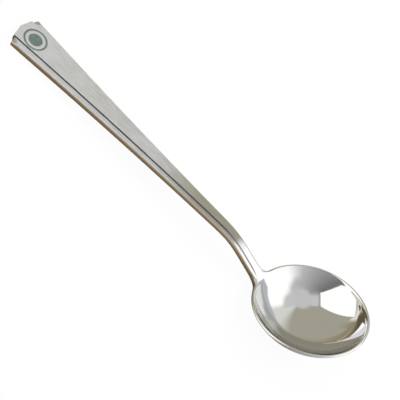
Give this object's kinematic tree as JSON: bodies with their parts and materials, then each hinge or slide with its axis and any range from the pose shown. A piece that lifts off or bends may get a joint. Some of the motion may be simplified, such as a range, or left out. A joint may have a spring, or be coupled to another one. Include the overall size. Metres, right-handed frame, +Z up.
{
  "type": "cupping spoon",
  "caption": "Cupping spoon with a deep round polished bowl, a short bent neck and a flat tapering handle with a raised panel and a plain round mark.",
  "frame": {"origin": "on the table under the middle of the spoon's length", "axes": "+X along the spoon from the handle's tip to the bowl, +Y across it, +Z up from the table it lies on"},
  "size_m": [0.168, 0.0446, 0.0207],
  "materials": {
    "polished_steel": "mirror polished stainless steel",
    "satin_steel": "finely satined stainless steel",
    "dark_mark": "dark grey-green etched and filled mark"
  },
  "bodies": {
    "root": {"bowl": "polished_steel", "handle": "satin_steel", "mark": "dark_mark"}
  },
  "joints": []
}
